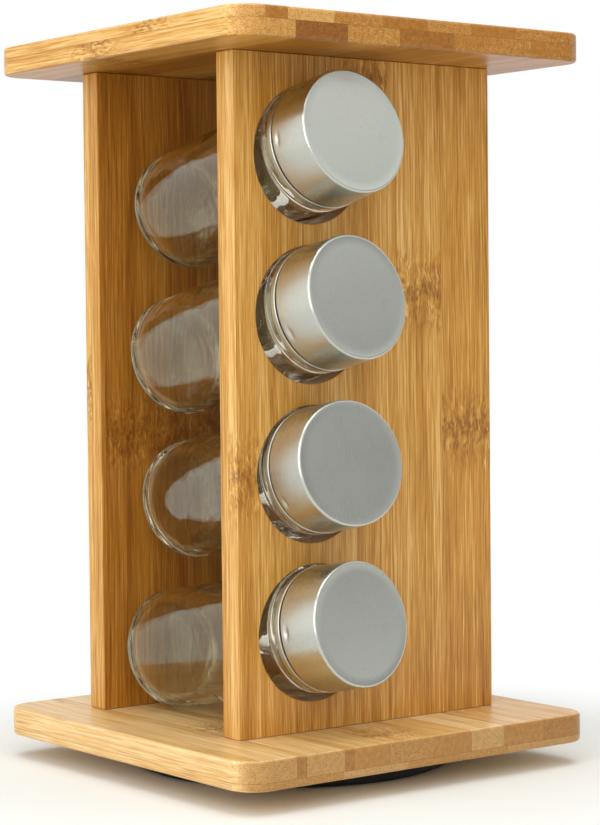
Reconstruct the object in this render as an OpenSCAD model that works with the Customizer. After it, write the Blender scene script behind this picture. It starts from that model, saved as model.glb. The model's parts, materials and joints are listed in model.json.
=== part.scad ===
// Two-sided bamboo spice carousel. Two upright panels stand between two square
// plates. Each panel carries one column of four glass jars, which lie in round
// holes with their lids outwards. The whole rack turns on a ball-bearing turntable.
// All lengths are in millimetres. The spin axis is Z and the table top is at Z = 0.

/* [Plates] */
// Side of the square base and top plates
plate_size = 181.4; // [170:0.2:240]
// Thickness of both plates
plate_t = 12; // [9:0.1:18]
// Radius of the plates' upright corners
plate_corner_r = 12.5; // [6:0.5:24]
// Rounding along the plates' upper and lower edges
plate_edge_r = 1.4; // [0.5:0.1:3]

/* [Rack] */
// Thickness of the two upright panels
panel_t = 11.2; // [9:0.1:16]
// Depth over the outer faces of both panels
rack_depth = 110.6; // [102:0.1:118]
// Distance from the spin axis to the middle of the rack, to the right
rack_off_x = 3; // [0:0.1:6]
// Distance from the spin axis to the middle of the rack, to the rear
rack_off_y = 5.2; // [0:0.1:6]
// Rounding of the panels' upright edges
panel_edge_r = 0.7; // [0.3:0.1:2]

/* [Jar holes] */
// Difference between the diameters of a hole and of the jar that lies in it
hole_play = 4.6; // [3.6:0.1:6]
// Wood left between two holes of a column
hole_web = 8.8; // [5:0.1:20]
// Wood left above the top hole and below the bottom hole
end_web = 12.3; // [12:0.1:24]
// Wood left between a hole and the nearest upright edge of its panel
side_web = 10.3; // [6:0.1:20]
// Space between the jars of the front column and those of the rear column
column_gap = 7.3; // [6:0.1:20]
// Bevel at the rim of each hole
hole_bevel = 0.5; // [0.2:0.1:1]

/* [Jar lean] */
// Share of the possible downward tilt that each front jar takes, from the top
front_tilt = [0.99, 0.91, 0.77, 1]; // [0:0.01:1]
// Sideways turn of each front jar, as a share of the largest lean
front_turn = [0.07, 0.23, -0.17, 0.4]; // [-0.5:0.01:0.5]
// Space between each front jar's heel and the rear panel
front_end_gap = [2.3, 2.0, 0.5, 0.9]; // [0.5:0.1:4]
// Turn of each front jar's lid, as the place of its first dimple
front_lid_turn = [179, 206, 211, 60]; // [0:1:360]
// Share of the possible downward tilt that each rear jar takes, from the top
rear_tilt = [0.92, 0.84, 0.95, 1]; // [0:0.01:1]
// Sideways turn of each rear jar, as a share of the largest lean
rear_turn = [0.12, -0.14, 0.05, 0.2]; // [-0.5:0.01:0.5]
// Space between each rear jar's heel and the front panel
rear_end_gap = [2.4, 1.6, 2.8, 2.2]; // [0.5:0.1:4]
// Turn of each rear jar's lid, as the place of its first dimple
rear_lid_turn = [190, 20, 140, 75]; // [0:1:360]

/* [Glass jar] */
// Outside diameter of the glass body
jar_d = 51.2; // [46:0.1:56]
// Height of the glass body, from its base to the top of the shoulder
jar_body_h = 99.6; // [92:0.1:104]
// Height of the neck above the shoulder
neck_h = 21.8; // [18:0.1:26]
// Thickness of the glass in the body
glass_wall = 2.4; // [1.8:0.1:3.5]
// Thickness of the glass in the base
glass_floor = 4.5; // [3.5:0.1:7]
// Rounding between base and body
heel_r = 7; // [4:0.5:10]
// Rounding between body and shoulder
shoulder_r = 2.6; // [1.5:0.1:4]
// Height of the hollow under the base
punt_h = 1.2; // [0.6:0.1:2]
// Radius of the mouth
mouth_r = 19.5; // [17:0.1:20]
// Thickness of the glass in the neck
neck_wall = 2.3; // [1.8:0.1:3]
// Height of the neck rings over the neck's face
neck_ring = 0.9; // [0.5:0.1:1.2]
// Heights of the two neck rings above the shoulder
ring_up = [8.2, 13.9]; // [4:0.1:18]
// Rounding of the mouth's lip
lip_r = 0.8; // [0.4:0.1:1.1]

/* [Lid] */
// Height of the lid, from its front face to the end of its rolled bead
lid_h = 23.9; // [18:0.1:25]
// Thickness of the lid's steel sheet
lid_wall = 0.5; // [0.4:0.05:0.8]
// Rounding of the lid's front edge
lid_edge_r = 0.9; // [0.6:0.1:3]
// Radius of the rolled bead's section
bead_r = 1.25; // [0.8:0.05:1.6]
// How far the bead stands out past the lid's side
bead_stand = 0.6; // [0.4:0.1:1.2]
// Thickness of the threaded plastic liner's skirt
liner_wall = 1.8; // [1:0.1:2]
// Thickness of the liner's top
liner_top = 0.9; // [0.6:0.1:1.5]
// Thickness of the soft sealing disc
seal_t = 1.2; // [0.8:0.1:2]
// Clearance between the neck rings and the liner
thread_gap = 0.3; // [0.2:0.05:0.5]
// Number of pressed dimples that lock the liner in the lid
dimple_count = 3; // [2:1:6]
// Depth of each dimple
dimple_depth = 0.25; // [0.1:0.05:0.3]
// Radius of the round punch that presses the dimples
dimple_r = 3; // [2:0.1:5]
// Distance from the bead to the middle of the dimples
dimple_up = 3.9; // [2:0.1:8]

/* [Dowels] */
// Diameter of the wooden dowels
dowel_d = 6; // [5:0.5:8]
// Depth of the dowels in the plates
dowel_in_plate = 7; // [5:0.5:8]
// Depth of the dowels in the panels
dowel_in_panel = 15; // [10:0.5:20]
// Distance from a panel's upright edge to its outer dowels
dowel_inset = 13; // [9:0.5:20]

/* [Turntable] */
// Radius of the turntable's lower disc
disc_r = 68; // [62:0.5:78]
// Radius of the turntable's upper disc
top_disc_r = 62; // [58:0.5:70]
// Thickness of the rubber grip pad
pad_t = 1; // [0.6:0.1:2]
// Distance from the grip pad's rim to the lower disc's rim
pad_inset = 3; // [1:0.5:8]
// Thickness of the lower disc
disc_t = 3.3; // [3.2:0.1:5]
// Thickness of the upper disc
top_disc_t = 3.7; // [3.6:0.1:6]
// Rounding of both discs' rims
disc_edge_r = 0.8; // [0.3:0.1:1.5]
// Space between the two discs
disc_gap = 1.6; // [1.4:0.1:2.4]
// Diameter of the bearing balls
ball_d = 5; // [4:0.1:5.4]
// Number of bearing balls
ball_count = 12; // [8:1:20]
// Radius of the circle of balls
track_r = 50; // [42:0.5:54]
// Clearance round each ball
ball_gap = 0.25; // [0.1:0.05:0.35]
// Width of the ring that holds the balls apart
cage_w = 10; // [8:0.5:12]
// Thickness of that ring
cage_t = 1; // [0.6:0.1:1.2]
// Diameter of the central rivet's shank
rivet_d = 8; // [5:0.5:10]
// Diameter of the rivet's two heads
rivet_head_d = 14; // [13:0.5:18]
// Thickness of each head
rivet_head_t = 1.2; // [0.8:0.1:1.4]
// Depth of the upper head's face below the upper disc's face
rivet_sink = 0.5; // [0.3:0.1:0.8]
// Space round each head in its recess
recess_gap = 0.5; // [0.3:0.1:1]
// Running clearance between the rivet and the upper disc, on the radius
rivet_gap = 0.06; // [0.03:0.01:0.1]
// Diameter of the screws that hold the upper disc to the base plate
screw_d = 3.5; // [3:0.1:4.5]
// Length of those screws
screw_len = 12; // [10:0.5:14]
// Diameter of the screws' countersunk heads
screw_head_d = 7; // [6:0.1:8]
// Thickness of the heads' rims
screw_rim_t = 0.4; // [0.2:0.1:0.8]
// Length of the screws' points
screw_point_h = 3; // [2:0.1:5]
// Width of the cross slots
slot_w = 0.6; // [0.4:0.1:1]
// Depth of the cross slots
slot_depth = 1; // [0.6:0.1:1.4]
// Number of screws
screw_count = 4; // [3:1:6]
// Radius of the circle of screws
screw_circle_r = 30; // [20:0.5:36]
// Angle of the first screw
screw_angle = 45; // [0:5:90]
// Diameter of the hole in the lower disc that lets a driver through
driver_d = 9; // [8:0.5:12]

/* [Hidden] */
SIDES = ["front", "rear"];
ROWS = 4;

$fn = 96;
eps = 0.01;
seat_gap = 0.3;      // space between a jar and the wood it leans on
fit_gap = 0.02;      // clearance of dowels, screws and other tight fits, on the radius
stack_gap = 0.1;     // space between glass, seal and liner, and round the liner
sharp_r = 0.1;       // rounding of a corner that stays sharp
tip_r = 0.4;         // radius of a wood screw's tip

// Heights above the table
disc_z = pad_t;
gap_z = disc_z + disc_t;
top_disc_z = gap_z + disc_gap;
base_z = top_disc_z + top_disc_t;
panel_z = base_z + plate_t;
ball_z = gap_z + disc_gap / 2;

// Jar, holes and panels
jar_r = jar_d / 2;
hole_r = (jar_d + hole_play) / 2;
hole_pitch = 2 * hole_r + hole_web;
panel_h = ROWS * 2 * hole_r + (ROWS - 1) * hole_web + 2 * end_web;
panel_w = 2 * (side_web + hole_r) + jar_d + column_gap;
top_z = panel_z + panel_h;
hole_x = -panel_w / 2 + side_web + hole_r;
panel_y = -rack_depth / 2 + panel_t / 2;
far_face = rack_depth - 1.5 * panel_t;
function hole_z(row) = panel_z + end_web + hole_r + (ROWS - 1 - row) * hole_pitch;

// Jar and lid stack, measured from the jar's base along its axis
mouth_z = jar_body_h + neck_h;
seal_z = mouth_z + stack_gap;
liner_top_z = seal_z + seal_t + stack_gap;
jar_len = liner_top_z + liner_top + lid_wall;
skirt_z = jar_len - lid_h;
neck_r = mouth_r + neck_wall;
ring_r = neck_r + neck_ring;
liner_in_r = ring_r + thread_gap;
liner_r = liner_in_r + liner_wall;
lid_in_r = liner_r + stack_gap;
lid_r = lid_in_r + lid_wall;
bead_mid_r = lid_r + bead_stand - bead_r;
liner_z = skirt_z + 2 * bead_r + 2 * stack_gap;
punt_r = (pow(jar_r - heel_r, 2) + pow(punt_h, 2)) / (2 * punt_h);

// Lean of the jars: a jar tilts until it meets the hole's rims or the base plate
rim_r = hole_r - seat_gap;
lean_max = acos(jar_r / norm([rim_r, panel_t / 2])) - atan2(panel_t / 2, rim_r);
function turn_of(side, row) = lean_max * (side == 0 ? front_turn : rear_turn)[row];
function tilt_free(side, row) =
    acos(cos(lean_max) / cos(turn_of(side, row))) * (side == 0 ? front_tilt : rear_tilt)[row];
function lid_turn(side, row) = (side == 0 ? front_lid_turn : rear_lid_turn)[row];
function end_gap(side, row) = (side == 0 ? front_end_gap : rear_end_gap)[row];
// Distance from the middle of the hole to the jar's base, along the jar's axis
function reach_at(side, row, tilt) =
    let (lean = acos(cos(tilt) * cos(turn_of(side, row))))
    (far_face - end_gap(side, row) - heel_r - (jar_r - heel_r) * sin(lean)) / cos(lean) + heel_r;
// Tilt at which the heel comes down on the base plate
function tilt_on_plate(side, row, tilt) =
    let (out = reach_at(side, row, tilt) - heel_r,
         drop = hole_z(row) - panel_z - seat_gap - heel_r,
         far = norm([out, jar_r - heel_r]))
    drop >= far ? 90 : atan2(out, jar_r - heel_r) - acos(drop / far);
function settle(side, row, tilt, steps) =
    steps == 0 ? tilt
    : settle(side, row, min(tilt_free(side, row), tilt_on_plate(side, row, tilt)), steps - 1);
function tilt_of(side, row) = settle(side, row, tilt_free(side, row), 6);
function reach_of(side, row) = reach_at(side, row, tilt_of(side, row));

// Flat board with round upright corners and softly rounded edges: a middle block,
// a strip along each side and a quarter turn at each corner, set face to face
module board(size, t, corner, edge) {
    inner = size - 2 * corner;
    translate([-inner / 2, -inner / 2, 0]) cube([inner, inner, t]);
    for (a = [0, 90, 180, 270]) rotate(a) {
        translate([inner / 2, inner / 2, 0]) rotate([90, 0, 0])
            linear_extrude(inner) half_section(corner, t, edge, edge);
        translate([inner / 2, inner / 2, 0])
            rotate_extrude(angle = 90) half_section(corner, t, edge, edge);
    }
}

// Half section of a solid of revolution with rounded outer corners
module half_section(r, h, low, high) {
    square([r - max(low, high), h]);
    translate([0, low]) square([r, h - low - high]);
    square([r - low, h - high]);
    translate([0, low]) square([r - high, h - low]);
    translate([r - low, low]) circle(low);
    translate([r - high, h - high]) circle(high);
}

module in_rack() translate([rack_off_x, rack_off_y, 0]) children();

module on_side(side) in_rack() rotate(180 * side) children();

// Puts a piece that is drawn round its own upright axis in its place in the rack
module in_hole(side, row)
    on_side(side)
        translate([hole_x, panel_y, hole_z(row)])
            rotate([90 - tilt_of(side, row), 0, turn_of(side, row)])
                translate([0, 0, -reach_of(side, row)])
                    children();

module dowel_spots()
    for (side = [0, 1], x = [-1, 1])
        on_side(side) translate([x * (panel_w / 2 - dowel_inset), panel_y, 0]) children();

module dowels(z_low, z_high)
    dowel_spots() translate([0, 0, z_low]) cylinder(d = dowel_d, h = z_high - z_low, $fn = 48);

module dowel_holes(z_low, z_high)
    dowel_spots() translate([0, 0, z_low])
        cylinder(r = dowel_d / 2 + fit_gap, h = z_high - z_low, $fn = 48);

module screw_spots()
    for (i = [0:screw_count - 1])
        rotate(screw_angle + i * 360 / screw_count)
            translate([screw_circle_r, 0, 0]) children();

// Countersunk wood screw with its head down and its point up, or the hole for it
module wood_screw(gap) {
    head_r = screw_head_d / 2 + gap;
    shank_r = screw_d / 2 + gap;
    neck_at = screw_rim_t + head_r - shank_r;
    point_at = screw_len - screw_point_h;
    cylinder(r = head_r, h = screw_rim_t);
    translate([0, 0, screw_rim_t]) cylinder(r1 = head_r, r2 = shank_r, h = neck_at - screw_rim_t);
    cylinder(r = shank_r, h = point_at);
    translate([0, 0, point_at]) cylinder(r1 = shank_r, r2 = tip_r, h = screw_point_h);
}

module ball_track()
    rotate_extrude() translate([track_r, ball_z]) circle(ball_d / 2 + ball_gap, $fn = 48);

// Turntable
module grip_pad()
    color("dimgray") cylinder(r = disc_r - pad_inset, h = pad_t);

module turntable_base()
    color([0.08, 0.08, 0.08])
    difference() {
        translate([0, 0, disc_z])
            rotate_extrude() half_section(disc_r, disc_t, disc_edge_r, disc_edge_r);
        ball_track();
        cylinder(r = rivet_d / 2 + fit_gap, h = base_z);
        translate([0, 0, disc_z - eps])
            cylinder(r = rivet_head_d / 2 + recess_gap, h = rivet_head_t + eps);
        // one hole, under which each screw comes in turn
        rotate(screw_angle) translate([screw_circle_r, 0, 0]) cylinder(d = driver_d, h = base_z);
    }

module pivot_rivet()
    color("silver") {
        foot_z = disc_z + stack_gap;
        top = base_z - rivet_sink;
        translate([0, 0, foot_z]) cylinder(d = rivet_head_d, h = rivet_head_t - stack_gap);
        translate([0, 0, foot_z]) cylinder(d = rivet_d, h = top - foot_z);
        translate([0, 0, top - rivet_head_t]) cylinder(d = rivet_head_d, h = rivet_head_t);
    }

module ball_spots()
    for (i = [0:ball_count - 1])
        rotate(i * 360 / ball_count) translate([track_r, 0, ball_z]) children();

module ball_cage()
    color("ivory")
    difference() {
        translate([0, 0, ball_z - cage_t / 2]) difference() {
            cylinder(r = track_r + cage_w / 2, h = cage_t);
            translate([0, 0, -eps]) cylinder(r = track_r - cage_w / 2, h = cage_t + 2 * eps);
        }
        ball_spots() cylinder(r = ball_d / 2 + ball_gap, h = 2 * cage_t, center = true, $fn = 48);
    }

module bearing_balls()
    color("silver") ball_spots() sphere(d = ball_d, $fn = 48);

module turntable_top()
    color([0.1, 0.1, 0.1])
    difference() {
        recess_z = base_z - rivet_sink - rivet_head_t - seat_gap;
        translate([0, 0, top_disc_z])
            rotate_extrude() half_section(top_disc_r, top_disc_t, disc_edge_r, disc_edge_r);
        ball_track();
        cylinder(r = rivet_d / 2 + rivet_gap, h = base_z + eps);
        translate([0, 0, recess_z]) cylinder(r = rivet_head_d / 2 + recess_gap, h = base_z);
        screw_spots() translate([0, 0, top_disc_z - eps])
            cylinder(r = screw_head_d / 2 + fit_gap, h = 2 * eps);
        screw_spots() translate([0, 0, top_disc_z]) wood_screw(fit_gap);
    }

module turntable_screws()
    color("silver")
    screw_spots() translate([0, 0, top_disc_z])
        difference() {
            wood_screw(0);
            for (a = [0, 90]) rotate(a)
                cube([screw_d, slot_w, 2 * slot_depth], center = true);
        }

// Wooden rack
module base_plate()
    color("burlywood")
    difference() {
        translate([0, 0, base_z]) board(plate_size, plate_t, plate_corner_r, plate_edge_r);
        dowel_holes(panel_z - dowel_in_plate - seat_gap, panel_z + eps);
        screw_spots() translate([0, 0, top_disc_z])
            cylinder(r = screw_d / 2 + fit_gap, h = screw_len + seat_gap);
    }

module top_plate()
    color("burlywood")
    difference() {
        translate([0, 0, top_z]) board(plate_size, plate_t, plate_corner_r, plate_edge_r);
        dowel_holes(top_z - eps, top_z + dowel_in_plate + seat_gap);
    }

// Upright panel with its column of jar holes, seen from its outer side
module panel(side)
    difference() {
        on_side(side) translate([0, panel_y, panel_z]) linear_extrude(panel_h) {
            square([panel_w - 2 * panel_edge_r, panel_t], center = true);
            square([panel_w, panel_t - 2 * panel_edge_r], center = true);
            for (x = [-1, 1], y = [-1, 1])
                translate([x * (panel_w / 2 - panel_edge_r), y * (panel_t / 2 - panel_edge_r)])
                    circle(panel_edge_r, $fn = 32);
        }
        for (row = [0:ROWS - 1])
            on_side(side) translate([hole_x, panel_y, hole_z(row)]) rotate([90, 0, 0]) {
                cylinder(r = hole_r, h = 2 * panel_t, center = true);
                for (face = [0, 1]) mirror([0, 0, face])
                    translate([0, 0, panel_t / 2 - hole_bevel])
                        cylinder(r1 = hole_r, r2 = hole_r + 2 * hole_bevel, h = 2 * hole_bevel);
            }
        dowel_holes(panel_z - eps, panel_z + dowel_in_panel + seat_gap);
        dowel_holes(top_z - dowel_in_panel - seat_gap, top_z + eps);
    }

module front_panel() color("tan") panel(0);

module rear_panel() color("tan") panel(1);

module base_dowels()
    color("wheat") dowels(panel_z - dowel_in_plate, panel_z + dowel_in_panel);

module top_dowels()
    color("wheat") dowels(top_z - dowel_in_panel, top_z + dowel_in_plate);

// Jars
module jar_glass()
    color([0.8, 0.9, 0.85, 0.4])
    rotate_extrude() difference() {
        union() {
            half_section(jar_r, jar_body_h, heel_r, shoulder_r);
            half_section(neck_r, mouth_z, heel_r, lip_r);
            // two plain rings stand where the screw thread runs
            for (up = ring_up)
                translate([neck_r - neck_ring, jar_body_h + up])
                    half_section(2 * neck_ring, 2 * neck_ring, 2 * neck_ring / 3, 2 * neck_ring / 3);
        }
        translate([0, glass_floor])
            half_section(jar_r - glass_wall, jar_body_h - glass_floor - glass_wall,
                         heel_r - glass_wall, shoulder_r);
        translate([0, glass_floor]) square([mouth_r, mouth_z]);
        // shallow hollow under the base
        intersection() {
            translate([0, punt_h - punt_r]) circle(punt_r, $fn = 360);
            translate([0, -punt_h]) square([jar_r, 2 * punt_h]);
        }
    }

module jar_seal()
    color("whitesmoke") translate([0, 0, seal_z]) cylinder(r = neck_r, h = seal_t);

module jar_liner()
    color("white")
    rotate_extrude() difference() {
        translate([0, liner_z])
            half_section(liner_r, jar_len - lid_wall - liner_z, sharp_r, lid_edge_r);
        square([liner_in_r, liner_top_z]);
    }

module lid_shell()
    rotate_extrude() {
        difference() {
            translate([0, skirt_z + bead_r]) half_section(lid_r, lid_h - bead_r, sharp_r, lid_edge_r);
            half_section(lid_in_r, jar_len - lid_wall, sharp_r, lid_edge_r - lid_wall / 2);
        }
        translate([bead_mid_r, skirt_z + bead_r]) circle(bead_r, $fn = 48);
    }

module jar_lid()
    color("silver")
    difference() {
        lid_shell();
        for (i = [0:dimple_count - 1]) rotate(i * 360 / dimple_count)
            translate([lid_r + dimple_r - dimple_depth, 0, skirt_z + 2 * bead_r + dimple_up])
                sphere(dimple_r, $fn = 48);
    }

grip_pad();
turntable_base();
pivot_rivet();
ball_cage();
bearing_balls();
turntable_top();
turntable_screws();
base_plate();
top_plate();
front_panel();
rear_panel();
base_dowels();
top_dowels();
for (side = [0, 1], row = [0:ROWS - 1]) {
    jar = str(SIDES[side], "_jar_", row + 1, "_");
    in_hole(side, row) jar_glass();
    in_hole(side, row) jar_seal();
    in_hole(side, row) jar_liner();
    in_hole(side, row) rotate(lid_turn(side, row)) jar_lid();
}
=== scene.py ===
"""Looks of the spice carousel: a two-sided bamboo rack on a turntable, with eight
glass jars that lie in round holes and show their brushed steel lids.

Shapes are drawn in millimetres and go into the meshes in metres, in the frame of
the CAD: Z is the spin axis, Z = 0 the table top, and the front panel faces -Y.
"""

import json
import math

import bmesh
import bpy
from mathutils import Matrix, Vector, noise


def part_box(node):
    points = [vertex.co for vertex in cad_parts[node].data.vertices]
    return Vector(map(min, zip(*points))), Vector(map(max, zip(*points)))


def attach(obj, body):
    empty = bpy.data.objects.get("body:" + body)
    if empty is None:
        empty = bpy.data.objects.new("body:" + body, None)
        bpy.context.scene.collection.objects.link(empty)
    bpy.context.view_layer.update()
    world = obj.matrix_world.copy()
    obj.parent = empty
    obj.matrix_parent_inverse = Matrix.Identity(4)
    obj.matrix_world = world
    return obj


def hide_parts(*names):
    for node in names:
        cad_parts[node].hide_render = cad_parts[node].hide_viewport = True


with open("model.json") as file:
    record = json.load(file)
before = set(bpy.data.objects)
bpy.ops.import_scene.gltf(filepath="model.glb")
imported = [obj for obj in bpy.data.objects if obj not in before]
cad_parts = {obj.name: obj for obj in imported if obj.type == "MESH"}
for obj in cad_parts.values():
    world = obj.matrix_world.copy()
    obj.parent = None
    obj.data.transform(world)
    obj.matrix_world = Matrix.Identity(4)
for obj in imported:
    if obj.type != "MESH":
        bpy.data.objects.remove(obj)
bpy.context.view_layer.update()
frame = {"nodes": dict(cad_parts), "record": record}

MM = 0.001
TURN = 2 * math.pi
RECORD_JOINTS = {joint["name"]: joint for joint in frame["record"]["behaviour"]["joints"]}
JARS = [f"{side}_jar_{row}" for side in ("front", "rear") for row in (1, 2, 3, 4)]

# ---------------------------------------------------------------- sizes, in mm
JAR_R, JAR_BODY_H, NECK_H = 25.6, 99.6, 21.8
MOUTH_Z = JAR_BODY_H + NECK_H
GLASS_WALL, GLASS_FLOOR = 2.4, 4.5
HEEL_R, SHOULDER_R, PUNT_H = 7.0, 2.6, 1.2
MOUTH_R, NECK_R, THREAD_H = 19.5, 21.8, 0.85
THREAD_PITCH = 4.0
JAR_LEN = 124.2

LID_H, LID_R, LID_WALL = 23.9, 25.4, 0.5
LID_EDGE_R, LID_FLARE = 0.9, 0.30
GROOVE_AT, GROOVE_W, GROOVE_DEPTH = 21.0, 1.0, 0.75
DIMPLE_AT = 17.1
BEAD_R, BEAD_OUT_R = 1.25, 25.90
LINER_R, LINER_BORE_R = 24.8, 23.0
SEAL_T = 1.2

PANEL_BEVEL = 0.5
HOLE_R = 27.9

THREAD_HALF_W = 1.15   # half the width of the thread's ridge
THREAD_FADE = 0.08     # share of a turn over which the thread rises at each end
DIMPLE_DEPTH, DIMPLE_HALF_W, DIMPLE_HALF_H = 0.55, 2.6, 1.15
FACE_DIP = 0.07        # the lid's face lies this much behind its rim
LID_SETBACK = 0.02     # keeps the lid's rim inside the box of the CAD


# ---------------------------------------------------------------- mesh helpers
ON_AXIS = 1e-6        # mm; a profile point nearer the axis becomes one vertex
WELD_DIST = 1e-6      # m; corners nearer to each other become one
BOARD_SHARP = 35      # degrees; edges of a board above this stay sharp
FLAT_FACE = 0.7       # part along Z of the normal, above which a face counts as flat


def add_object(name, mesh, body=None, replaces=()):
    """Puts a mesh in the scene, ties it to its body, and hides the CAD nodes that it replaces."""
    piece = bpy.data.objects.new(name, mesh)
    bpy.context.scene.collection.objects.link(piece)
    if body:
        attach(piece, body)
    if replaces:
        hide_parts(*replaces)
    return piece


def arc(centre_r, centre_z, radius, start, end, steps):
    """Points along a circular arc in the half plane (r, z), angles in degrees."""
    angles = [math.radians(start + (end - start) * k / steps) for k in range(steps + 1)]
    return [(centre_r + radius * math.cos(a), centre_z + radius * math.sin(a)) for a in angles]


def line(start, end, steps):
    """Points from start up to, but without, end."""
    return [tuple(a + (b - a) * k / steps for a, b in zip(start, end)) for k in range(steps)]


def revolve(name, profile, segments, shape=None, sharp=50, closed=True):
    """Solid of revolution round Z with its profile in mm; shape(angle, r, z) may bend it.
    Its UV map gives the direction of brushing: across the flat faces, round the sides."""
    built = bmesh.new()
    uv = built.loops.layers.uv.new("brushing")
    rings = []
    for r, z in profile:
        if r < ON_AXIS:
            rings.append([built.verts.new((0, 0, z * MM))])
            continue
        ring = []
        for k in range(segments):
            angle = TURN * k / segments
            r1, z1 = shape(angle, r, z) if shape else (r, z)
            ring.append(built.verts.new(
                (r1 * math.cos(angle) * MM, r1 * math.sin(angle) * MM, z1 * MM)))
        rings.append(ring)
    pairs = list(zip(rings, rings[1:])) + ([(rings[-1], rings[0])] if closed else [])
    for low, high in pairs:
        if len(low) == len(high) == 1:
            continue
        for k in range(segments):
            n = (k + 1) % segments
            if len(low) == 1:
                face = built.faces.new((low[0], high[n], high[k]))
            elif len(high) == 1:
                face = built.faces.new((low[k], low[n], high[0]))
            else:
                face = built.faces.new((low[k], low[n], high[n], high[k]))
            face.smooth = True
    bmesh.ops.recalc_face_normals(built, faces=built.faces)
    for face in built.faces:
        flat = abs(face.normal.z) > FLAT_FACE
        for loop in face.loops:
            x, y, z = loop.vert.co
            loop[uv].uv = (x, y) if flat else (z, math.atan2(y, x) * LID_R * MM)
    mesh = bpy.data.meshes.new(name)
    built.to_mesh(mesh)
    built.free()
    mesh.set_sharp_from_angle(angle=math.radians(sharp))
    return mesh


def board_mesh(name, outline, holes, thickness, bevel, bevel_steps):
    """Flat board in the XY plane, centred on Z = 0, with every edge rounded."""
    curve = bpy.data.curves.new(name, "CURVE")
    curve.dimensions = "2D"
    curve.fill_mode = "BOTH"
    curve.extrude = (thickness / 2 - bevel) * MM
    curve.bevel_depth = bevel * MM
    curve.bevel_resolution = bevel_steps
    curve.offset = -bevel * MM
    for points in [outline, *holes]:
        spline = curve.splines.new("POLY")
        spline.points.add(len(points) - 1)
        for point, (x, y) in zip(spline.points, points):
            point.co = (x * MM, y * MM, 0, 1)
        spline.use_cyclic_u = True
    holder = bpy.data.objects.new(name, curve)
    bpy.context.scene.collection.objects.link(holder)
    depsgraph = bpy.context.evaluated_depsgraph_get()
    mesh = bpy.data.meshes.new_from_object(holder.evaluated_get(depsgraph))
    bpy.data.objects.remove(holder)
    bpy.data.curves.remove(curve)
    built = bmesh.new()
    built.from_mesh(mesh)
    bmesh.ops.remove_doubles(built, verts=built.verts, dist=WELD_DIST)
    bmesh.ops.recalc_face_normals(built, faces=built.faces)
    for face in built.faces:
        face.smooth = True
    built.to_mesh(mesh)
    built.free()
    mesh.set_sharp_from_angle(angle=math.radians(BOARD_SHARP))
    return mesh


def circle_points(x, y, radius, count):
    """Points of a full circle, for the outline of a hole."""
    return [(x + radius * math.cos(TURN * k / count), y + radius * math.sin(TURN * k / count))
            for k in range(count)]


def weighted_normals(piece):
    """Keeps the flat faces flat where they meet rounded edges."""
    piece.modifiers.new("flat faces", "WEIGHTED_NORMAL").keep_sharp = True


# ---------------------------------------------------------------- materials
class Finish:
    """A material built up from nodes, with short calls for the usual steps."""

    def __init__(self, name):
        self.material = bpy.data.materials.new(name)
        self.material.use_nodes = True
        self.nodes = self.material.node_tree.nodes
        self.links = self.material.node_tree.links
        self.shader = self.nodes["Principled BSDF"]

    def put(self, value, socket):
        """Links a socket, or sets it to a plain value."""
        if isinstance(value, bpy.types.NodeSocket):
            self.links.new(value, socket)
        else:
            socket.default_value = value

    def node(self, kind, inputs=None, **settings):
        made = self.nodes.new("ShaderNode" + kind)
        for name, value in settings.items():
            setattr(made, name, value)
        for name, value in (inputs or {}).items():
            self.put(value, made.inputs[name])
        return made

    def surface(self, **inputs):
        """Sets the main shader's sockets: base_color sets Base Color, and so on."""
        for name, value in inputs.items():
            socket = name.replace("_", " ").title().replace("Ior", "IOR")
            self.put(value, self.shader.inputs[socket])

    def calc(self, operation, *values, clamp=False):
        made = self.node("Math", operation=operation, use_clamp=clamp)
        for socket, value in zip(made.inputs, values):
            self.put(value, socket)
        return made.outputs[0]

    def step(self, value, low, high, out_low=0.0, out_high=1.0):
        """Smooth change from out_low to out_high as the value goes from low to high."""
        made = self.node("MapRange", interpolation_type="SMOOTHSTEP")
        for name, given in zip(("Value", "From Min", "From Max", "To Min", "To Max"),
                               (value, low, high, out_low, out_high)):
            self.put(given, made.inputs[name])
        return made.outputs[0]

    def span(self, value, low, high):
        """Value as a fraction of the way from low to high."""
        return self.calc("DIVIDE", self.calc("SUBTRACT", value, low), high - low, clamp=True)

    def swing(self, value, width):
        """A value from 0 to 1 as one from -width/2 to width/2."""
        return self.calc("MULTIPLY_ADD", value, width, -width / 2)

    def mix(self, factor, a, b, blend="MIX"):
        """Mixes two colours; 0, 6 and 7 are the Mix node's sockets for them."""
        made = self.node("Mix", data_type="RGBA", blend_type=blend)
        for index, value in ((0, factor), (6, a), (7, b)):
            self.put(value, made.inputs[index])
        return made.outputs[2]

    def join(self, x, y, z):
        return self.node("CombineXYZ", {"X": x, "Y": y, "Z": z}).outputs[0]

    def split(self, vector):
        return self.node("SeparateXYZ", {"Vector": vector}).outputs

    def stretch(self, vector, x, y, z):
        made = self.node("VectorMath", operation="MULTIPLY")
        self.put(vector, made.inputs[0])
        made.inputs[1].default_value = (x, y, z)
        return made.outputs[0]

    def noise(self, vector, detail=2.0, roughness=0.5):
        return self.node("TexNoise", {"Vector": vector, "Scale": 1.0, "Detail": detail,
                                      "Roughness": roughness}).outputs["Fac"]

    def cells(self, vector):
        """Distance from the nearest of many scattered points."""
        made = self.node("TexVoronoi", {"Vector": vector, "Scale": 1.0, "Randomness": 1.0})
        return made.outputs["Distance"]

    def object_mm(self):
        """Place on the object, in mm."""
        place = self.node("TexCoord").outputs["Object"]
        return self.stretch(place, 1 / MM, 1 / MM, 1 / MM)

    def bump(self, height, distance):
        """Relief of the given height, with its full depth in metres."""
        made = self.node("Bump", {"Height": height, "Strength": 1.0, "Distance": distance})
        self.put(made.outputs[0], self.shader.inputs["Normal"])


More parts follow.
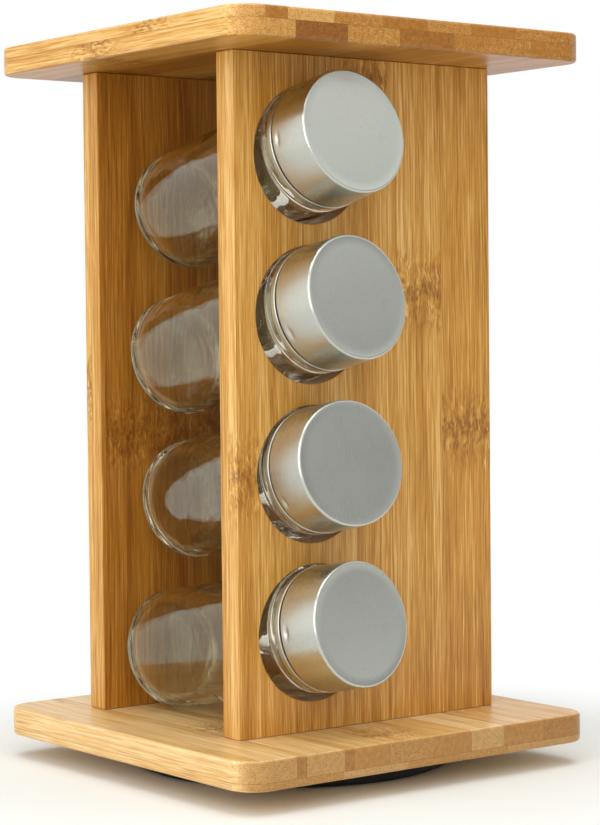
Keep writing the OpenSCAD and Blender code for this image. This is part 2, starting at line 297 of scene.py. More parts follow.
def linear(red, green, blue):
    """A screen colour in 0 to 255 as the linear colour that shaders take."""
    def one(value):
        value /= 255
        return value / 12.92 if value <= 0.04045 else ((value + 0.055) / 1.055) ** 2.4
    return (one(red), one(green), one(blue), 1.0)


def dimmed(colour, share):
    """The colour with its three channels scaled."""
    return tuple(c * share for c in colour[:3]) + (1,)


class Ply:
    """One layer of a laminated board. Each of its strips is given by its left edge in mm,
    a tone from 0 (dark) to 1 (pale), and the place of its node along the grain in mm."""

    LOW, HIGH = -120.0, 120.0
    NODE_LOW, NODE_HIGH = -200.0, 400.0

    def __init__(self, *strips):
        self.strips = strips

    def ramp(self, finish, across):
        """Tone, node place and number of the strip at a place, as one colour."""
        found = finish.node("ValToRGB", {"Fac": finish.span(across, self.LOW, self.HIGH)})
        found.color_ramp.interpolation = "CONSTANT"
        stops = found.color_ramp.elements
        for k, (left, tone, node_at) in enumerate(self.strips):
            stop = stops[k] if k < 2 else stops.new(1.0)
            stop.position = max(0.0, (left - self.LOW) / (self.HIGH - self.LOW))
            height = (node_at - self.NODE_LOW) / (self.NODE_HIGH - self.NODE_LOW)
            stop.color = (tone, height, k / len(self.strips), 1)
        return found.outputs[0]


SEAM_W = 0.22                      # mm; width of the glue line between two strips
STRIP_SEED, PLY_SEED = 977.0, 61.0  # mm; shift the pattern from strip to strip and ply to ply
DRIED_GLUE = linear(226, 214, 190)


def bamboo(name, grain_axis, ply_split, plies, tones, dark, node_dark, glue=None, inner=None,
           end=(0.74, 0.64, 0.50, 1), roughness=0.36):
    """Laminated bamboo with its fibres along the grain axis, Y or Z. The strips lie side
    by side along X, and two plies lie on each other with their joint at ply_split. The face
    of the lower ply, which looks into the rack, may be darkened by the colour inner as
    painted shade, and the end grain is tinted by the colour end."""
    finish = Finish(name)
    calc, step, swing = finish.calc, finish.step, finish.swing
    x, y, z = finish.split(finish.object_mm())
    across, through, along = (x, y, z) if grain_axis == "Z" else (x, z, y)
    lower_ply = calc("LESS_THAN", through, ply_split)
    low_here, high_here = (ply.ramp(finish, across) for ply in plies)
    low_next, high_next = (ply.ramp(finish, calc("ADD", across, SEAM_W)) for ply in plies)
    strip = finish.mix(lower_ply, high_here, low_here)
    tone, height, number = finish.node("SeparateColor", {"Color": strip}).outputs
    strip_next = finish.mix(lower_ply, high_next, low_next)
    number_next = finish.node("SeparateColor", {"Color": strip_next}).outputs[2]
    node_at = calc("MULTIPLY_ADD", height, Ply.NODE_HIGH - Ply.NODE_LOW, Ply.NODE_LOW)
    seed = calc("MULTIPLY_ADD", number, STRIP_SEED, calc("MULTIPLY", lower_ply, PLY_SEED))

    def place(per_across, per_through, per_along, sideways=across):
        return finish.join(calc("MULTIPLY", sideways, per_across),
                           calc("MULTIPLY", calc("ADD", through, seed), per_through),
                           calc("MULTIPLY", along, per_along))

    # fibres wander a little everywhere, and swerve at a node
    ragged = finish.noise(place(0.42, 0.42, 0.10), detail=3.0, roughness=0.6)
    from_node = calc("ADD", calc("SUBTRACT", along, node_at), swing(ragged, 15.0))
    away = calc("ABSOLUTE", from_node)
    near_node = step(away, 5.0, 23.0, 1.0, 0.0)
    wander = finish.noise(place(0.05, 0.05, 0.011), detail=1.0)
    swerve = finish.noise(place(0.30, 0.30, 0.13), detail=2.0)
    bent = calc("ADD", across, calc("ADD", swing(wander, 3.0),
                                    calc("MULTIPLY", near_node, swing(swerve, 5.0))))

    # colour: broad patches, streaks, hair-fine fibres, and blotches round a node
    broad = finish.noise(place(0.13, 0.13, 0.003, bent), detail=1.0)
    streaks = finish.noise(place(0.85, 0.85, 0.016, bent), detail=4.0, roughness=0.6)
    grains = finish.noise(place(1.6, 1.6, 0.10, bent), detail=2.0)
    hair = finish.noise(place(2.3, 2.3, 0.030, bent), detail=2.0)
    blotch = finish.noise(place(0.45, 0.45, 0.16, bent), detail=3.0, roughness=0.65)
    level = 0.5
    for part, width in ((tone, 0.66), (broad, 0.7), (streaks, 1.05), (grains, 0.5), (hair, 1.2)):
        level = calc("ADD", level, swing(part, width))
    blotches = calc("MULTIPLY", near_node, calc("MULTIPLY_ADD", blotch, 1.5, -0.85))
    level = calc("ADD", level, blotches)

    # bundles of fibres: thin dark lines on the faces, dots on the end grain
    bundles = finish.cells(place(1.05, 1.05, 0.028, bent))
    flecks = finish.cells(place(0.80, 0.80, 0.22, bent))
    specks = finish.noise(place(0.9, 0.9, 0.5), detail=2.0)
    crowd = finish.noise(place(0.16, 0.16, 0.005), detail=1.0)
    line_here = calc("MULTIPLY", step(bundles, 0.06, 0.34, 1.0, 0.0),
                     step(crowd, 0.34, 0.58, 0.25, 1.0))
    fleck_here = calc("MULTIPLY", step(flecks, 0.16, 0.46, 1.0, 0.0), near_node)
    at_node = calc("MULTIPLY", step(away, 1.2, 3.4, 1.0, 0.0), step(specks, 0.38, 0.56))

    _, ny, nz = finish.split(finish.node("TexCoord").outputs["Normal"])
    end_grain = step(calc("ABSOLUTE", nz if grain_axis == "Z" else ny), 0.30, 0.80)
    pores = finish.cells(place(2.0, 2.0, 0.02))
    dots = step(pores, 0.24, 0.46, 1.0, 0.0)
    grey = finish.noise(place(0.5, 0.5, 0.01), detail=2.0)
    end_level = calc("ADD", calc("MULTIPLY_ADD", tone, 1.1, -0.05), swing(grey, 0.6))
    end_level = calc("ADD", end_level, calc("MULTIPLY", dots, step(tone, 0.3, 0.6, 0.28, -0.55)))
    all_level = finish.node("Mix", {"Factor": end_grain}, data_type="FLOAT")  # numbers: 2 and 3
    finish.put(level, all_level.inputs[2])
    finish.put(end_level, all_level.inputs[3])

    shades = finish.node("ValToRGB", {"Fac": all_level.outputs[0]})
    stops = shades.color_ramp.elements
    stops.new(0.5)
    for stop, colour in zip(stops, tones):
        stop.color = colour
    on_face = calc("SUBTRACT", 1.0, end_grain)
    lines = calc("MAXIMUM", calc("MULTIPLY", line_here, 0.62), calc("MULTIPLY", fleck_here, 0.55))
    coloured = finish.mix(calc("MULTIPLY", lines, on_face), shades.outputs[0], dark)
    coloured = finish.mix(calc("MULTIPLY", calc("MULTIPLY", at_node, 0.50), on_face),
                          coloured, node_dark)
    coloured = finish.mix(end_grain, coloured, finish.mix(1.0, coloured, end, "MULTIPLY"))
    # painted shade: the lower ply's face that looks into the rack is darkened by the colour inner
    if inner:
        facing_in = step(calc("ABSOLUTE", ny if grain_axis == "Z" else nz), 0.5, 0.9)
        coloured = finish.mix(calc("MULTIPLY", lower_ply, facing_in), coloured,
                              finish.mix(1.0, coloured, inner, "MULTIPLY"))

    # thin glue lines between the strips and between the plies
    seam = step(calc("ABSOLUTE", calc("SUBTRACT", number, number_next)), 0.001, 0.01, 0.0, 0.45)
    ply_line = step(calc("ABSOLUTE", calc("SUBTRACT", through, ply_split)), 0.06, 0.24, 0.42, 0.0)
    coloured = finish.mix(calc("MAXIMUM", seam, ply_line), coloured, dark)
    if glue:
        coloured = finish.mix(glue(finish, x, y), coloured, DRIED_GLUE)

    finish.surface(base_color=coloured, ior=1.48,
                   roughness=calc("MULTIPLY_ADD", lines, 0.16, roughness))
    finish.bump(calc("SUBTRACT", hair, calc("MULTIPLY", lines, 1.2)), 0.00005)
    return finish.material


TONES = (linear(150, 94, 28), linear(200, 142, 52), linear(240, 197, 124))
# the base plate's own paler bamboo, lightened further all over as a painted sheen for its bright
# top
BASE_TONES_AND_SHEEN = (linear(180, 128, 66), linear(226, 180, 108), linear(247, 220, 168))
DARK, NODE_DARK = linear(126, 71, 15), linear(118, 64, 13)

# Strips from left to right: left edge, tone, place of the node
FRONT_PLIES = (
    Ply((-120, .82, 127), (-64.1, .5, 127), (-54.0, .42, 350), (-29.9, .5, 350), (-10.4, .46, 288),
        (13.4, .5, 350), (18.3, .5, 200), (42.4, .42, 142)),
    Ply((-120, .42, 350), (-54.0, .5, 20), (-6, .4, 230), (42.4, .5, 90)))
REAR_PLIES = (
    Ply((-120, .5, 350), (-62.0, .35, 141), (-38.0, .25, 139), (-14.0, .3, 144), (10.0, .35, 60),
        (34.0, .4, 250)),
    Ply((-120, .6, 160), (-54.0, .5, 230), (-30.0, .5, 100), (-6.0, .45, 30), (18.0, .4, 200),
        (42.0, .5, 280)))
BASE_PLIES = (
    Ply((-120, .6, 300), (-80, .55, -60), (-44.5, .8, 70), (-12, .45, 0), (15, .6, -30),
        (42, .75, 60)),
    Ply((-120, .7, 300), (-66.9, .25, 90), (-62.5, .72, -20), (-43.7, .22, 66), (-38.5, .42, 60),
        (-20.7, .55, -75), (2.2, .42, 20), (22.0, .85, 85), (39.5, .4, -40), (62.0, .3, 10)))
TOP_PLIES = (
    Ply((-120, .8, 10), (-64.3, .08, 60), (-38.6, .66, -40), (-12.5, .22, 30), (15.6, .55, -10),
        (31.7, .6, 70), (58.0, .5, 0)),
    Ply((-120, .8, -30), (-78.0, .35, 20), (-67.9, .95, 62), (-45.9, .6, -10), (-21.1, .35, 40),
        (1.5, .65, 80), (24.7, .45, -70), (48.7, .6, 10), (72.3, .55, 50)))


# the second colour is near black: painted shade for the inside of the lids' groove
SMUDGE, GROOVE_SHADE = (0.34, 0.33, 0.28, 1), (0.012, 0.011, 0.010, 1)
GLASS_TINT, GLINT_TINT = (1.0, 0.995, 0.95, 1), (1.0, 1.0, 0.70, 1)
GLASS_DEPTH, GLASS_DENSITY = (0.86, 0.91, 0.62, 1), 9.0  # colour and strength per metre
GLASS_IOR = 1.55


def brushed_steel(name, colour, roughness):
    """Steel with long fine strokes, faint smudges, and painted shade, near black, inside the groove
    where "groove" is 1.
    """
    finish = Finish(name)
    uv = finish.node("UVMap", uv_map="brushing").outputs[0]
    strokes = finish.noise(finish.stretch(uv, 9000, 160, 1), detail=4.0, roughness=0.65)
    cloud = finish.noise(finish.stretch(uv, 60, 60, 1), detail=3.0)
    finish.surface(metallic=1.0, anisotropic=0.85)
    smudge = finish.step(finish.noise(finish.stretch(uv, 110, 110, 1), detail=4.0, roughness=0.7),
                         0.56, 0.72, 0.0, 0.16)
    # painted shade: where "groove" is 1 the steel is mixed towards near black, and it is rougher
    # there
    groove_shading = finish.step(finish.node("Attribute", attribute_name="groove").outputs["Fac"], 0.15, 0.6)
    plain = finish.mix(finish.calc("MULTIPLY_ADD", strokes, 0.6, 0.2),
                       dimmed(colour, 0.92), colour)
    marked = finish.mix(smudge, plain, SMUDGE)
    finish.surface(base_color=finish.mix(groove_shading, marked, GROOVE_SHADE))
    brushed = finish.calc("ADD", roughness - 0.06, finish.calc(
        "ADD", finish.calc("MULTIPLY", strokes, 0.06), finish.calc("MULTIPLY", cloud, 0.06)))
    finish.surface(roughness=finish.calc("ADD", brushed, finish.calc("MULTIPLY", groove_shading, 0.5),
                                         clamp=True))
    tangent = finish.node("Tangent", direction_type="UV_MAP", uv_map="brushing").outputs[0]
    finish.put(tangent, finish.shader.inputs["Tangent"])
    finish.bump(strokes, 0.000004)
    return finish.material


def clear_glass():
    """Pressed glass: slightly wavy, slightly green in its depth."""
    finish = Finish("clear_glass")
    place = finish.object_mm()
    ripple = finish.noise(finish.stretch(place, 0.05, 0.05, 0.03), detail=2.0)
    finish.surface(base_color=GLASS_TINT, specular_tint=GLINT_TINT, roughness=0.0, ior=GLASS_IOR)
    finish.shader.inputs["Transmission Weight"].default_value = 1.0
    finish.bump(ripple, 0.0004)
    absorb = finish.node("VolumeAbsorption", {"Color": GLASS_DEPTH, "Density": GLASS_DENSITY})
    finish.links.new(absorb.outputs[0], finish.nodes["Material Output"].inputs["Volume"])
    return finish.material


def moulded_plastic(name, colour, roughness, grain=0.00001):
    """Plastic with the fine spark texture of its mould."""
    finish = Finish(name)
    place = finish.object_mm()
    pits = finish.noise(finish.stretch(place, 3, 3, 3), detail=3.0)
    cloud = finish.noise(finish.stretch(place, 0.08, 0.08, 0.08), detail=2.0)
    finish.surface(base_color=finish.mix(cloud, dimmed(colour, 0.82), colour),
                   roughness=finish.calc("MULTIPLY_ADD", pits, 0.12, roughness))
    finish.bump(pits, grain)
    return finish.material


def plain_metal(name, colour, roughness):
    """Bare metal with a cloudy shine."""
    finish = Finish(name)
    cloud = finish.noise(finish.stretch(finish.object_mm(), 0.5, 0.5, 0.5), detail=4.0)
    finish.surface(metallic=1.0, base_color=colour,
                   roughness=finish.calc("MULTIPLY_ADD", cloud, 0.15, roughness))
    finish.bump(cloud, 0.00001)
    return finish.material


def panel_feet(finish, x, y):
    """Whitish smears of dried glue on the base plate, where the panels stand on it."""
    calc = finish.calc
    smears = []
    for node in ("front_panel", "rear_panel"):
        low, high = (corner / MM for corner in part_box(node))
        middle, half = (low + high) / 2, (high - low) / 2
        past_x = calc("SUBTRACT", calc("ABSOLUTE", calc("SUBTRACT", x, middle.x)), half.x)
        past_y = calc("SUBTRACT", calc("ABSOLUTE", calc("SUBTRACT", y, middle.y)), half.y)
        smears.append(calc("MAXIMUM", past_x, past_y))
    nearest = calc("MINIMUM", *smears)
    patchy = finish.noise(finish.join(calc("MULTIPLY", x, 0.16), calc("MULTIPLY", y, 0.16), 0.0),
                          detail=4.0, roughness=0.65)
    width = finish.step(patchy, 0.40, 0.66, 0.0, 2.6)
    return finish.step(calc("SUBTRACT", nearest, width), -0.9, 0.1, 0.62, 0.0)


def ply_joint(node, axis, share):
    """Where the joint between a board's two plies lies, in mm."""
    low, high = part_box(node)
    return (low[axis] + (high[axis] - low[axis]) * share) / MM


panel_front_wood = bamboo("bamboo_front_panel", "Z", ply_joint("front_panel", 1, 0.5), FRONT_PLIES,
                          TONES, DARK, NODE_DARK)
# inner: painted shade on the rear panel's face that looks into the rack
panel_rear_wood = bamboo("bamboo_rear_panel", "Z", ply_joint("rear_panel", 1, 0.6), REAR_PLIES,
                         TONES, DARK, NODE_DARK, inner=(0.80, 0.66, 0.45, 1))
base_wood = bamboo("bamboo_base_plate", "Y", ply_joint("base_plate", 2, 0.28), BASE_PLIES,
                   BASE_TONES_AND_SHEEN, DARK, NODE_DARK, glue=panel_feet, end=(0.58, 0.47, 0.32, 1))
# inner: painted shade on the top plate's underside
top_wood = bamboo("bamboo_top_plate", "Y", ply_joint("top_plate", 2, 0.58), TOP_PLIES,
                  TONES, DARK, NODE_DARK, inner=(0.70, 0.60, 0.45, 1))
DOWEL_TONES = (linear(196, 160, 108), linear(218, 186, 136), linear(232, 204, 158))
NO_PLY_JOINT = 1000.0  # mm; far outside the dowels, which are of one piece
dowel_wood = bamboo("dowel_wood", "Z", NO_PLY_JOINT, REAR_PLIES, DOWEL_TONES, linear(170, 130, 84),
                    linear(180, 140, 90), roughness=0.6)
STEEL = (0.60, 0.62, 0.557, 1)
lid_steel = brushed_steel("lid_steel", STEEL, 0.28)
glass = clear_glass()
liner_plastic = moulded_plastic("cap_plastic", linear(236, 236, 230), 0.42)
seal_foam = moulded_plastic("cap_seal", linear(242, 242, 238), 0.7, 0.00003)
black_plastic = moulded_plastic("black_plastic", (0.005, 0.005, 0.005, 1), 0.45)
black_plastic.node_tree.nodes["Principled BSDF"].inputs["Specular IOR Level"].default_value = 0.3
grip_rubber = moulded_plastic("grip_rubber", (0.02, 0.02, 0.02, 1), 0.75, 0.00004)
cage_nylon = moulded_plastic("cage_plastic", linear(228, 222, 206), 0.45)
zinc = plain_metal("zinc_steel", (0.55, 0.56, 0.56, 1), 0.32)
ball_steel = plain_metal("ball_steel", (0.72, 0.72, 0.72, 1), 0.06)


def finish_cad(node, material):
    """Gives a CAD node that stays in view its material."""
    slots = frame["nodes"][node].data.materials
    slots.clear()
    slots.append(material)


CAD_FINISHES = {
    "grip_pad": grip_rubber, "turntable_base": black_plastic, "turntable_top": black_plastic,
    "pivot_rivet": zinc, "turntable_screws": zinc, "ball_cage": cage_nylon,
    "bearing_balls": ball_steel, "base_plate": base_wood, "top_plate": top_wood,
    "base_dowels": dowel_wood, "top_dowels": dowel_wood}
for node, material in CAD_FINISHES.items():
    finish_cad(node, material)


# ---------------------------------------------------------------- upright panels
def hole_centre(jar):
    """Where a jar's axis meets the middle plane of its panel."""
    panel_low, panel_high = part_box(jar.split("_")[0] + "_panel")
    middle_y = (panel_low.y + panel_high.y) / 2
    joint = RECORD_JOINTS[jar + "_cap_turn"]
    mouth, axis = Vector(joint["pos_m"]), Vector(joint["axis"])
    return mouth + axis * ((middle_y - mouth.y) / axis.y)


HOLE_SEGMENTS = 144


def make_panel(side, material):
    """Upright panel: its outline and its four holes, with every edge slightly rounded."""
    node = side + "_panel"
    low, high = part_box(node)
    centre = (low + high) / 2
    half_w, half_h = (high.x - low.x) / 2 / MM, (high.z - low.z) / 2 / MM
    corner = PANEL_BEVEL + 0.2
    outline = []
    for sx, sz, start in ((1, 1, 0), (-1, 1, 90), (-1, -1, 180), (1, -1, 270)):
        outline += arc(sx * (half_w - corner), sz * (half_h - corner), corner, start, start + 90, 4)
    holes = []
    for jar in JARS:
        if jar.startswith(side):
            spot = (hole_centre(jar) - centre) / MM
            holes.append(circle_points(spot.x, spot.z, HOLE_R, HOLE_SEGMENTS))
    mesh = board_mesh(node + "_board", outline, holes, (high.y - low.y) / MM, PANEL_BEVEL, 3)
    mesh.transform(Matrix.Translation(centre) @ Matrix.Rotation(math.radians(90), 4, "X"))
    piece = add_object(node + "_board", mesh, "rack", [node])
    mesh.materials.clear()
    mesh.materials.append(material)
    weighted_normals(piece)


make_panel("front", panel_front_wood)
make_panel("rear", panel_rear_wood)


# ---------------------------------------------------------------- jars and lids
def on_axis(jar):
    """Matrix that puts a piece drawn round Z, with the jar's base at 0, on the jar's axis."""
    joint = RECORD_JOINTS[jar + "_cap_turn"]
    axis = Vector(joint["axis"])
    origin = Vector(joint["pos_m"]) - axis * MOUTH_Z * MM
    sideways = Vector((0, 0, 1)).cross(axis).normalized()
    upwards = axis.cross(sideways)
    placed = Matrix((sideways, upwards, axis)).transposed().to_4x4()
    placed.translation = origin
    return placed


def thread_rise(angle, z, start, turns):
    """Height of a helical ridge over its wall at a point, from 0 to 1."""
    best = 0.0
    for lap in range(int(turns) + 1):
        travelled = angle / TURN + lap
        if travelled > turns:
            continue
        fade = min(1.0, travelled / THREAD_FADE, (turns - travelled) / THREAD_FADE)
        offset = abs(z - start - THREAD_PITCH * travelled) / THREAD_HALF_W
        if offset < 1:
            best = max(best, fade * (1 - offset ** 2) ** 0.7)
    return best


def glass_profile():
    """The jar's outside from the foot to the mouth, then its inside back to the floor."""
    outer = [(0, PUNT_H)]
    foot_r = JAR_R - HEEL_R
    dome_r = (foot_r ** 2 + PUNT_H ** 2) / (2 * PUNT_H)
    outer += [(r, PUNT_H - dome_r + math.sqrt(dome_r ** 2 - r ** 2))
              for r in [foot_r * k / 10 for k in range(1, 10)]]
    outer += arc(foot_r, HEEL_R, HEEL_R, -90, 0, 16)
    outer += line((JAR_R, HEEL_R + 2), (JAR_R, JAR_BODY_H - SHOULDER_R), 24)
    outer += arc(JAR_R - SHOULDER_R, JAR_BODY_H - SHOULDER_R, SHOULDER_R, 0, 80, 8)
    outer += [(NECK_R + 0.9, JAR_BODY_H - 0.1), (NECK_R + 0.3, JAR_BODY_H + 0.25)]
    outer += line((NECK_R, JAR_BODY_H + 0.9), (NECK_R, MOUTH_Z - 0.8), 64)
    outer += arc(NECK_R - 0.8, MOUTH_Z - 0.8, 0.8, 0, 90, 4)
    outer += arc(MOUTH_R + 0.8, MOUTH_Z - 0.8, 0.8, 90, 180, 4)
    top = JAR_BODY_H - GLASS_WALL
    bore = JAR_R - GLASS_WALL
    round_r = HEEL_R - GLASS_WALL
    inner = line((MOUTH_R, MOUTH_Z - 2), (MOUTH_R, top + 0.8), 8)
    inner += [(MOUTH_R + 0.15, top + 0.3), (MOUTH_R + 0.6, top)]
    inner += arc(bore - SHOULDER_R, top - SHOULDER_R, SHOULDER_R, 80, 0, 6)
    inner += line((bore, top - SHOULDER_R - 2), (bore, GLASS_FLOOR + round_r + 1), 20)
    inner += arc(bore - round_r, GLASS_FLOOR + round_r, round_r, 0, -90, 12)
    inner += [((bore - round_r) * k / 5, GLASS_FLOOR) for k in (4, 3, 2, 1, 0)]
    return outer + inner


def glass_shape(seed):
    """Slight unevenness of pressed glass, and the thread on the neck."""
    def shape(angle, r, z):
        if r > NECK_R - 0.01 and JAR_BODY_H + 3 < z < MOUTH_Z - 0.8:
            return r + THREAD_H * thread_rise(angle, z, JAR_BODY_H + 7.0, 1.6), z
        inside = r < JAR_R - GLASS_WALL + 0.01 and GLASS_FLOOR < z < JAR_BODY_H - GLASS_WALL
        if inside:
            place = Vector((math.cos(angle) * 1.2, math.sin(angle) * 1.2, z / 45 + seed))
            return r - 0.04 - 0.07 * noise.noise(place), z
        return r, z
    return shape


def make_glass(jar, seed):
    mesh = revolve(jar + "_glass_body", glass_profile(), 128, glass_shape(seed), sharp=60)
    mesh.transform(on_axis(jar))
    mesh.materials.append(glass)
    add_object(jar + "_glass_body", mesh, jar, [jar + "_glass"])


def make_seal(jar):
    low = MOUTH_Z + 0.1
    profile = [(0, low), (18, low), *arc(NECK_R - 0.3, low + 0.3, 0.3, -90, 0, 3),
               *arc(NECK_R - 0.3, low + SEAL_T - 0.3, 0.3, 0, 90, 3), (18, low + SEAL_T),
               (0, low + SEAL_T)]
    mesh = revolve(jar + "_seal_disc", profile, 96, closed=False)
    mesh.transform(on_axis(jar))
    mesh.materials.append(seal_foam)
    add_object(jar + "_seal_disc", mesh, jar + "_cap_seal", [jar + "_seal"])


def liner_shape(angle, r, z):
    """The thread inside the liner runs between the turns of the glass thread."""
    if abs(r - LINER_BORE_R) < 0.01 and JAR_BODY_H + 4 < z < MOUTH_Z:
        return r - 0.7 * thread_rise(angle, z, JAR_BODY_H + 5.0, 3.0), z
    return r, z


def make_liner(jar):
    top = JAR_LEN - LID_WALL
    low = JAR_LEN - LID_H + 2 * BEAD_R + 0.2
    roof = MOUTH_Z + 0.1 + SEAL_T + 0.1
    profile = [(0, roof), (21.8, roof), (LINER_BORE_R, roof - 0.6)]
    profile += line((LINER_BORE_R, roof - 1), (LINER_BORE_R, low), 60)
    profile += [(LINER_BORE_R + 0.1, low), (LINER_R - 0.2, low), (LINER_R, low + 0.2)]
    profile += arc(LINER_R - LID_EDGE_R - 0.3, top - LID_EDGE_R - 0.3, LID_EDGE_R + 0.3, 0, 90, 6)
    profile += [(0, top)]
    mesh = revolve(jar + "_liner_cup", profile, 128, liner_shape, closed=False)
    mesh.transform(on_axis(jar))
    mesh.materials.append(liner_plastic)
    add_object(jar + "_liner_cup", mesh, jar + "_cap", [jar + "_liner"])


def lid_profile():
    """Lid of thin sheet: a flat face with a fine step at its rim, a side that flares a
    little, a groove, and an edge rolled into a bead."""
    front = JAR_LEN - LID_SETBACK
    groove = front - GROOVE_AT
    side_r = LID_R + LID_FLARE
    points = [(r, front - FACE_DIP) for r in (0, 12, 21, 23.9)]
    points += [(24.2, front - 0.02), (24.4, front)]
    points += arc(LID_R - LID_EDGE_R, front - LID_EDGE_R, LID_EDGE_R, 80, 0, 7)
    points += line((LID_R, front - LID_EDGE_R - 0.5), (side_r, groove + GROOVE_W), 34)
    points += arc(side_r - 0.1, groove + GROOVE_W, 0.1, 0, -80, 3)
    points += [(side_r - 0.25, groove + GROOVE_W - 0.12),
               (side_r - GROOVE_DEPTH, groove + GROOVE_W - 0.2)]
    points += [(side_r - GROOVE_DEPTH, groove + 0.1)]
    points += arc(BEAD_OUT_R - 0.35, groove - 0.35, 0.35, 90, 0, 5)
    points += line((BEAD_OUT_R, groove - 0.5), (BEAD_OUT_R, front - LID_H + 0.8), 4)
    points += arc(BEAD_OUT_R - 0.7, front - LID_H + 0.7, 0.7, 0, -100, 8)
    points += [(LID_R - 0.5, front - LID_H + 1.2), (LID_R - LID_WALL, front - LID_H + 2.6)]
    points += line((LID_R - LID_WALL, front - LID_H + 3), (LID_R - LID_WALL, front - 1.6), 6)
    points += [(LID_R - LID_WALL - 0.4, front - 0.75), (LID_R - LID_WALL - 1.2, front - LID_WALL)]
    points += [(12, front - LID_WALL - 0.05), (0, front - LID_WALL - 0.05)]
    return points


def lid_shape(dimples):
    """Presses short dimples into the side just in front of the groove."""
    def shape(angle, r, z):
        if r < LID_R - 0.1 or z > JAR_LEN - 12 or z < JAR_LEN - GROOVE_AT + 0.6:
            return r, z
        depth = 0.0
        for turned in dimples:
            around = ((angle - math.radians(turned) + math.pi) % TURN - math.pi) * LID_R
            above = z - (JAR_LEN - DIMPLE_AT)
            away = (around / DIMPLE_HALF_W) ** 2 + (above / DIMPLE_HALF_H) ** 2
            depth += DIMPLE_DEPTH * math.exp(-away * 1.6)
        return r - depth, z
    return shape


def mark_groove(mesh):
    """Marks the inside of the groove, which gets painted shade, as 1 and the rest as 0."""
    marks = mesh.attributes.new("groove", "FLOAT", "POINT").data
    low, high = JAR_LEN - GROOVE_AT - 0.04, JAR_LEN - GROOVE_AT + GROOVE_W - 0.02
    shallow_r = LID_R + LID_FLARE - 0.2
    for mark, vertex in zip(marks, mesh.vertices):
        r, z = math.hypot(vertex.co.x, vertex.co.y) / MM, vertex.co.z / MM
        mark.value = 1.0 if low < z < high and LID_R - 0.6 < r < shallow_r else 0.0


def make_lid(jar, dimples):
    mesh = revolve(jar + "_lid_shell", lid_profile(), 240, lid_shape(dimples), sharp=35,
                   closed=False)
    mark_groove(mesh)
    mesh.transform(on_axis(jar))
    mesh.materials.append(lid_steel)
    add_object(jar + "_lid_shell", mesh, jar + "_cap", [jar + "_lid"])


# Where each lid's dimples stand, in degrees from the jar's right-hand side, seen from outside
DIMPLES_AT = {"front_jar_1": 179, "front_jar_2": 206, "front_jar_3": 211, "front_jar_4": 60,
              "rear_jar_1": 190, "rear_jar_2": 20, "rear_jar_3": 140, "rear_jar_4": 75}
for number, jar in enumerate(JARS):
    make_glass(jar, number * 3.7)
    make_seal(jar)
    make_liner(jar)
    make_lid(jar, [DIMPLES_AT[jar] + k * 120 for k in range(3)])


# ---------------------------------------------------------------- floor, light, camera
FLOOR_R = 6.0                          # m
FLOOR_COLOUR = (0.91, 0.915, 0.875, 1)
WHITE = (1, 1, 1, 1)
OBJECT_MIDDLE = (0, 0, 0.15)
ROOM_LIGHT = 0.38
BOUNCES = 28  # with the default the thick rims of the glass turn black
CARD_AT, CARD_SIZE = (0.80, -0.92, 0.60), (0.95, 1.30, 1)


def make_floor():
    """Pale floor round the object that turns into plain white where it is only looked at."""
    mesh = bpy.data.meshes.new("floor")
    built = bmesh.new()
    bmesh.ops.create_circle(built, cap_ends=True, radius=FLOOR_R, segments=96)
    built.to_mesh(mesh)
    built.free()
    floor = add_object("floor", mesh)
    finish = Finish("floor")
    x, y, _ = finish.split(finish.node("TexCoord").outputs["Object"])
    distance = finish.calc("SQRT", finish.calc("ADD", finish.calc("MULTIPLY", x, x),
                                               finish.calc("MULTIPLY", y, y)))
    far = finish.step(distance, 0.14, 0.24)
    path = finish.node("LightPath").outputs
    seen = finish.calc("MAXIMUM", path["Is Camera Ray"], finish.calc(
        "MAXIMUM", path["Is Glossy Ray"], path["Is Transmission Ray"]))
    finish.surface(base_color=FLOOR_COLOUR, roughness=0.9)
    white = finish.node("Emission", {"Color": WHITE, "Strength": 1.0})
    both = finish.node("MixShader", {"Fac": finish.calc("MULTIPLY", far, seen)})
    finish.links.new(finish.shader.outputs[0], both.inputs[1])
    finish.links.new(white.outputs[0], both.inputs[2])
    finish.links.new(both.outputs[0], finish.nodes["Material Output"].inputs["Surface"])
    mesh.materials.append(finish.material)


def make_world(ambient):
    """White room: as bright as white where it is seen, plainer where it lights the object."""
    world = bpy.data.worlds.new("studio")
    bpy.context.scene.world = world
    world.use_nodes = True
    nodes, links = world.node_tree.nodes, world.node_tree.links
    path = nodes.new("ShaderNodeLightPath").outputs
    seen = nodes.new("ShaderNodeMath")
    seen.operation = "MAXIMUM"
    glossy = nodes.new("ShaderNodeMath")
    glossy.operation = "MAXIMUM"
    links.new(path["Is Glossy Ray"], glossy.inputs[0])
    links.new(path["Is Transmission Ray"], glossy.inputs[1])
    links.new(path["Is Camera Ray"], seen.inputs[0])
    links.new(glossy.outputs[0], seen.inputs[1])
    strength = nodes.new("ShaderNodeMapRange")
    links.new(seen.outputs[0], strength.inputs["Value"])
    strength.inputs["To Min"].default_value = ambient
    strength.inputs["To Max"].default_value = 1.0
    nodes["Background"].inputs["Color"].default_value = WHITE
    links.new(strength.outputs[0], nodes["Background"].inputs["Strength"])


def softbox(name, place, width, height, radiance):
    """Rectangular lamp that shines with the given radiance towards the object's middle."""
    lamp = bpy.data.lights.new(name, "AREA")
    lamp.shape = "RECTANGLE"
    lamp.size, lamp.size_y = width, height
    lamp.energy = radiance * math.pi * width * height
    holder = bpy.data.objects.new(name, lamp)
    bpy.context.scene.collection.objects.link(holder)
    holder.location = place
    towards = Vector(OBJECT_MIDDLE) - Vector(place)
    holder.rotation_euler = towards.to_track_quat("-Z", "Y").to_euler()
    return holder


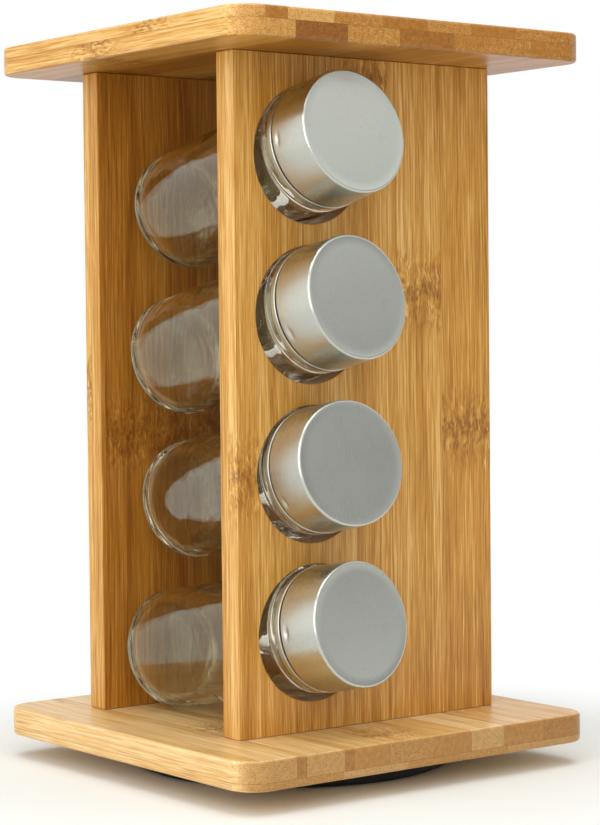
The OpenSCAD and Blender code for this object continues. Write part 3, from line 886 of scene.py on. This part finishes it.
def make_camera():
    """Camera at the photograph's distance and angle."""
    lens, sensor = 101.5, 36.0
    place = Vector((-0.60225, -0.7963, 0.1873))
    yaw, pitch, roll = 0.652, -0.038, -0.010
    forward = Vector((math.sin(yaw) * math.cos(pitch), math.cos(yaw) * math.cos(pitch),
                      math.sin(pitch)))
    level_right = forward.cross(Vector((0, 0, 1))).normalized()
    level_up = level_right.cross(forward)
    right = level_right * math.cos(roll) + level_up * math.sin(roll)
    up = level_up * math.cos(roll) - level_right * math.sin(roll)
    data = bpy.data.cameras.new("camera")
    data.lens, data.sensor_width = lens, sensor
    camera = bpy.data.objects.new("camera", data)
    bpy.context.scene.collection.objects.link(camera)
    placed = Matrix((right, up, -forward)).transposed().to_4x4()
    placed.translation = place
    camera.matrix_world = placed
    bpy.context.scene.camera = camera


def make_grey_card():
    """Tall grey card to the right of the front, darkest below its middle, which only shows
    as a reflection in the steel."""
    mesh = bpy.data.meshes.new("grey_card")
    built = bmesh.new()
    bmesh.ops.create_grid(built, x_segments=1, y_segments=1, size=0.5)
    built.to_mesh(mesh)
    built.free()
    card = add_object("grey_card", mesh)
    card.location = CARD_AT
    card.scale = CARD_SIZE
    card.rotation_euler = (Vector((0, 0, 0.6)) - card.location).to_track_quat("Z", "Y").to_euler()
    for way in ("camera", "diffuse", "transmission", "shadow", "volume_scatter"):
        setattr(card, "visible_" + way, False)
    finish = Finish("grey_card")
    height = finish.split(finish.node("TexCoord").outputs["Object"])[1]
    strength = finish.calc("ADD", finish.step(height, -0.21, 0.33, 0.25, 1.0),
                           finish.step(height, -0.36, -0.20, 0.42, 0.0))
    grey = finish.node("Emission", {"Color": WHITE, "Strength": strength})
    finish.links.new(grey.outputs[0], finish.nodes["Material Output"].inputs["Surface"])
    mesh.materials.append(finish.material)


make_floor()
make_world(ROOM_LIGHT)
make_grey_card()
softbox("overhead_softbox", (-0.1, -0.1, 1.5), 1.6, 1.6, 2.05)
softbox("left_softbox", (-1.25, -0.35, 0.55), 1.6, 1.3, 1.75)
front_lamp = softbox("front_softbox", (-0.45, -1.5, 0.9), 1.5, 1.15, 1.15)
front_lamp.visible_glossy = False  # mirrored in the lids' faces, it would burn them out
for kind in ("max_bounces", "transmission_bounces", "glossy_bounces"):
    setattr(bpy.context.scene.cycles, kind, BOUNCES)
make_camera()
bpy.context.scene.view_settings.view_transform = "Standard"
